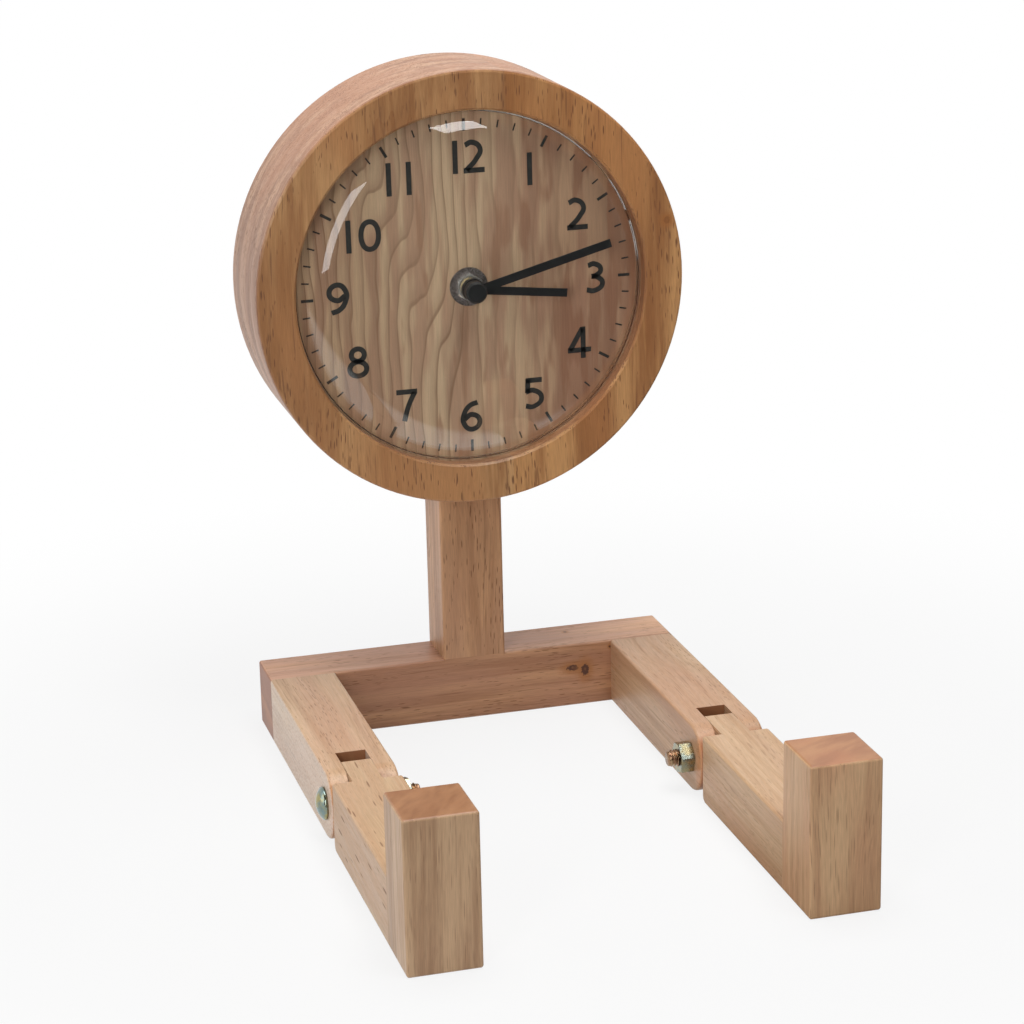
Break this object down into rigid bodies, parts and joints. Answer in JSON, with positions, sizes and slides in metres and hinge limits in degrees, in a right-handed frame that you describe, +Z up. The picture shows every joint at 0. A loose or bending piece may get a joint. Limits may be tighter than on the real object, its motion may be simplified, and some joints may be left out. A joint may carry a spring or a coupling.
{
  "type": "desk clock",
  "caption": "Wooden desk clock: a round glazed head on a square post, with bolted hinged legs that let it sit on a shelf.",
  "frame": {"origin": "middle of the ground that the whole clock covers, at the height of the resting face", "axes": "+X to the right, +Y away from the viewer, +Z up; the dial faces -Y"},
  "size_m": [0.199, 0.293, 0.3019],
  "materials": {
    "limb_wood": "oiled light hardwood",
    "case_wood": "oiled light hardwood, turned",
    "dowel_wood": "plain beech",
    "board": "fibreboard",
    "dial_veneer": "veneer with printed figures",
    "screw_steel": "plain steel",
    "zinc_steel": "zinc plated",
    "contact_steel": "nickel plated spring steel",
    "brass": "plain brass",
    "rubber": "soft black rubber",
    "glass": "clear domed glass",
    "hand_black": "satin black aluminium",
    "cap_black": "black",
    "movement_plastic": "black moulded",
    "knob_plastic": "black moulded",
    "gear_plastic": "natural acetal",
    "hoop_plastic": "dark plastic",
    "battery_can": "plain jacket"
  },
  "bodies": {
    "clock": {"hip_beam": "limb_wood", "post": "limb_wood", "thigh_left": "limb_wood", "thigh_right": "limb_wood", "hip_dowels": "dowel_wood", "post_screws": "screw_steel", "case_screws": "screw_steel", "knee_bolts": "zinc_steel", "knee_nuts": "zinc_steel", "case": "case_wood", "glass": "glass", "dial_face": "dial_veneer", "dial_board": "board", "retaining_hoop": "hoop_plastic", "threaded_bush": "brass", "rubber_washer": "rubber", "dial_washer": "brass", "dial_nut": "brass", "movement_shell": "movement_plastic", "movement_cover": "movement_plastic", "battery": "battery_can", "battery_contacts": "contact_steel"},
    "shin_left": {"shin_left": "limb_wood", "foot_left": "limb_wood", "foot_dowels_left": "dowel_wood"},
    "shin_right": {"shin_right": "limb_wood", "foot_right": "limb_wood", "foot_dowels_right": "dowel_wood"},
    "minute": {"minute_hand": "hand_black", "minute_cap": "cap_black", "minute_arbor": "gear_plastic", "centre_wheel": "gear_plastic"},
    "hour": {"hour_hand": "hand_black", "hour_wheel": "gear_plastic"},
    "motion": {"motion_wheel": "gear_plastic"},
    "knob": {"setting_knob": "knob_plastic"}
  },
  "joints": [
    {"name": "knee_left", "type": "hinge", "parent": "clock", "child": "shin_left", "pos_m": [-0.0805, -0.0055, 0.015], "axis": [1, 0, 0], "range_deg": [-90, 90]},
    {"name": "knee_right", "type": "hinge", "parent": "clock", "child": "shin_right", "pos_m": [0.0805, -0.0055, 0.015], "axis": [1, 0, 0], "range_deg": [-90, 90]},
    {"name": "minute_hand_turn", "type": "hinge", "parent": "clock", "child": "minute", "pos_m": [0, 0.111, 0.2054], "axis": [0, 1, 0], "continuous": true},
    {"name": "hour_hand_turn", "type": "hinge", "parent": "clock", "child": "hour", "pos_m": [0, 0.111, 0.2054], "axis": [0, 1, 0], "continuous": true},
    {"name": "motion_wheel_turn", "type": "hinge", "parent": "clock", "child": "motion", "pos_m": [0, 0.111, 0.2159], "axis": [0, 1, 0], "continuous": true},
    {"name": "setting_knob_turn", "type": "hinge", "parent": "clock", "child": "knob", "pos_m": [0.0105, 0.111, 0.2159], "axis": [0, 1, 0], "continuous": true}
  ],
  "couplings": [
    {"joint": "hour_hand_turn", "follows": "minute_hand_turn", "ratio": 0.083333},
    {"joint": "motion_wheel_turn", "follows": "minute_hand_turn", "ratio": -0.33333},
    {"joint": "setting_knob_turn", "follows": "minute_hand_turn", "ratio": 1}
  ]
}
